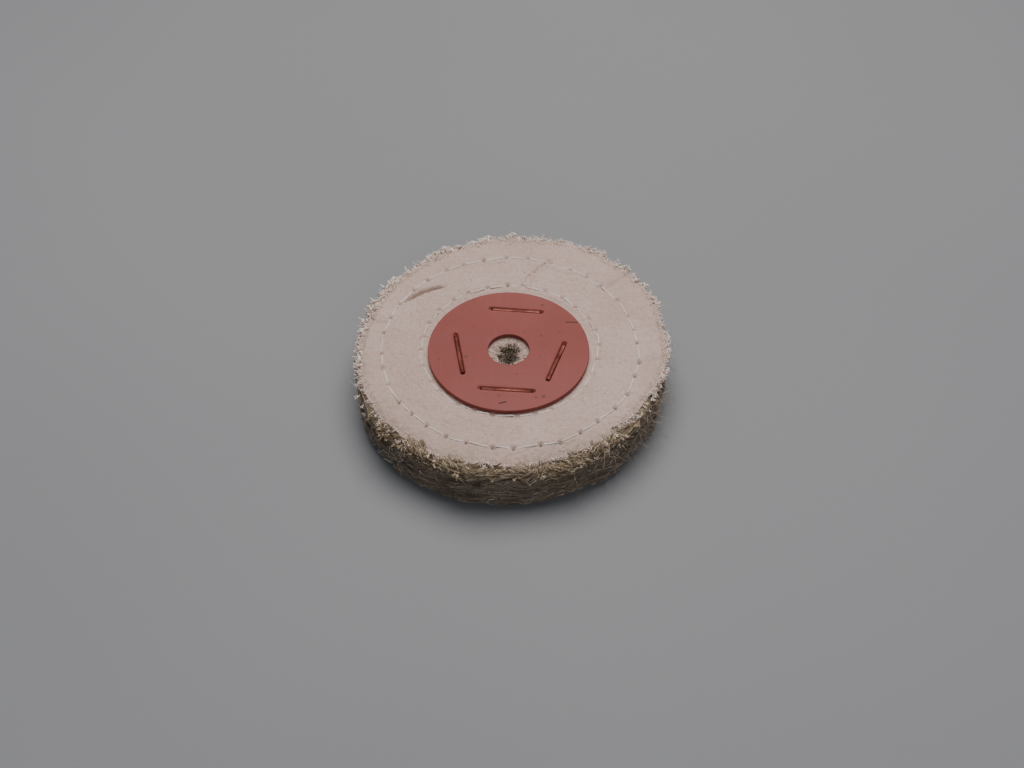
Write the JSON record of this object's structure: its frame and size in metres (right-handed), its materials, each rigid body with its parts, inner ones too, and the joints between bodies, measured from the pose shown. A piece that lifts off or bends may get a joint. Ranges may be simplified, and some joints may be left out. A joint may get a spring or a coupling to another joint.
{
  "type": "sewn polishing wheel",
  "caption": "Flat round buff of stitched cotton and sisal cloth plies with a stapled red fibre plate on each face and a hole for the spindle.",
  "frame": {"origin": "the wheel's centre: on the spindle axis, half way through the thickness", "axes": "+Z along the spindle axis, out of the front face, where the staples' crowns are; +X and +Y across the wheel, with staple_1 near +Y and staple_4 near +X"},
  "size_m": [0.1, 0.1, 0.02],
  "materials": {
    "cotton_cloth": "matte",
    "sisal_cloth": "matte",
    "vulcanised_fibre": "satin",
    "coppered_wire": "satin",
    "sewing_thread": "matte"
  },
  "bodies": {
    "root": {"front_cotton_ply": "cotton_cloth", "sisal_ply_1": "sisal_cloth", "inner_cotton_ply_1": "cotton_cloth", "sisal_ply_2": "sisal_cloth", "inner_cotton_ply_2": "cotton_cloth", "sisal_ply_3": "sisal_cloth", "inner_cotton_ply_3": "cotton_cloth", "sisal_ply_4": "sisal_cloth", "inner_cotton_ply_4": "cotton_cloth", "sisal_ply_5": "sisal_cloth", "rear_cotton_ply": "cotton_cloth", "front_fibre_plate": "vulcanised_fibre", "rear_fibre_plate": "vulcanised_fibre", "staple_1": "coppered_wire", "staple_2": "coppered_wire", "staple_3": "coppered_wire", "staple_4": "coppered_wire", "needle_thread_inner": "sewing_thread", "bobbin_thread_inner": "sewing_thread", "needle_thread_outer": "sewing_thread", "bobbin_thread_outer": "sewing_thread"}
  },
  "joints": []
}
